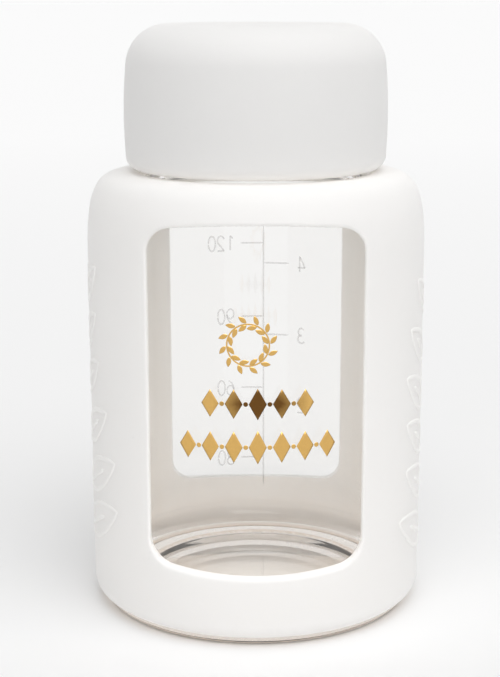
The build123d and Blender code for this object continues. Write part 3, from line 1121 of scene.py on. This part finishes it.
def studio_floor(colour):
    """Pale floor, lighter further away. In gloss and through glass part of it is light."""
    levels = {"Roughness": 0.9, "Specular IOR Level": 0.1, "Emission Strength": 1.0}
    finish, tree, shader = new_finish("studio_floor", levels)
    through = ray_kinds(tree)[1]
    away = maths(tree, "ADD", object_point(tree)[1]["Y"], 0.1, clamp=True)
    shade = mixed(tree, away, (*colour, 1.0), grey(FLOOR_FAR))
    feed(tree, shader, {
        "Base Color": mixed(tree, through, shade, grey(FLOOR_THROUGH)),
        "Emission Color": maths(tree, "MULTIPLY", through, FLOOR_GLOW),
    })
    finish.cycles.emission_sampling = "NONE"
    return finish


# Studio


def studio_world(setup):
    """White light from all round, stronger from the front and the rear, and pale where shown."""
    world = bpy.data.worlds.new("studio_world")
    world.use_nodes = True
    tree = world.node_tree
    direction = add(tree, "ShaderNodeTexCoord")["Generated"]
    depth = maths(tree, "ABSOLUTE", add(tree, "ShaderNodeSeparateXYZ", {0: direction})["Y"])
    level = maths(tree, "MULTIPLY_ADD", depth, setup.dome_depth, setup.dome)
    shown = maths(tree, "MAXIMUM", *ray_kinds(tree))
    strength = add(tree, "ShaderNodeMix", {0: shown, 2: level, 3: WORLD_SHOWN})[0]
    feed(tree, tree.nodes["Background"], {"Color": grey(1.0), "Strength": strength})
    return world


def studio_camera(setup):
    """Camera in front of the bottle, turned by its yaw, tilt and roll."""
    camera = bpy.data.cameras.new("camera")
    camera.lens, camera.clip_start = setup.lens, 0.01
    view = put("camera", camera)
    turn = Matrix.Rotation(setup.yaw, 4, "Z") @ Matrix.Rotation(np.pi / 2 - setup.tilt, 4, "X")
    turn = turn @ Matrix.Rotation(setup.roll, 4, "Z")
    view.matrix_world = Matrix.Translation((0.0, -setup.distance, setup.height)) @ turn
    return view


class BOTTLE_OT_studio(bpy.types.Operator):
    """Floor, lights and camera"""

    bl_idname = "bottle.studio"
    bl_label = "Studio"

    def execute(self, context):
        scene = context.scene
        ends = (-FLOOR_REACH, FLOOR_REACH)
        floor = make_mesh("studio_floor", [(x, y, 0.0) for y in ends for x in ends], [(0, 1, 3, 2)])
        floor.data.materials.append(studio_floor(scene.bottle_colours.floor))
        scene.world = studio_world(scene.studio_setup)
        lamp = bpy.data.lights.new("soft_box", "SUN")
        lamp.angle, lamp.energy = LAMP_ANGLE, scene.studio_setup.lamp
        facing = Vector(LAMP_SIDE).to_track_quat("Z", "Y")
        put("soft_box", lamp).rotation_euler = facing.to_euler()
        scene.camera = studio_camera(scene.studio_setup)
        scene.view_settings.view_transform = "Standard"
        paths = scene.cycles
        paths.max_bounces, paths.transmission_bounces, paths.diffuse_bounces = 32, 24, 10
        paths.blur_glossy = 0.0
        return {"FINISHED"}


class BOTTLE_PT_panel(bpy.types.Panel):
    """Sidebar panel with one button for each piece, the sizes and the colours"""

    bl_idname = "BOTTLE_PT_panel"
    bl_label = "Storage bottle"
    bl_space_type = "VIEW_3D"
    bl_region_type = "UI"
    bl_category = "Bottle"

    def draw(self, context):
        for operator in OPERATORS:
            self.layout.operator(operator.bl_idname)
        for name, kind in GROUPS.items():
            box = self.layout.box()
            for value in kind.__annotations__:
                box.prop(getattr(context.scene, name), value)


GROUPS = {
    "bottle_sizes": BottleSizes,
    "sleeve_sizes": SleeveSizes,
    "cap_sizes": CapSizes,
    "bottle_colours": BottleColours,
    "studio_setup": StudioSetup,
}
OPERATORS = (
    BOTTLE_OT_glass,
    BOTTLE_OT_sleeve,
    BOTTLE_OT_leaves,
    BOTTLE_OT_cap,
    BOTTLE_OT_seal,
    BOTTLE_OT_prints,
    BOTTLE_OT_studio,
)


def register():
    """Adds the classes, and the groups of settings to every scene."""
    for kind in (*GROUPS.values(), *OPERATORS, BOTTLE_PT_panel):
        bpy.utils.register_class(kind)
    for name, kind in GROUPS.items():
        setattr(bpy.types.Scene, name, bpy.props.PointerProperty(type=kind))


def unregister():
    """Takes the settings and the classes away again."""
    for name in GROUPS:
        delattr(bpy.types.Scene, name)
    for kind in (BOTTLE_PT_panel, *OPERATORS[::-1], *GROUPS.values()):
        bpy.utils.unregister_class(kind)


def main():
    register()
    bpy.ops.bottle.glass()
    bpy.ops.bottle.sleeve()
    bpy.ops.bottle.leaves()
    bpy.ops.bottle.cap()
    bpy.ops.bottle.seal()
    bpy.ops.bottle.prints()
    bpy.ops.bottle.studio()


if __name__ == "__main__":
    main()
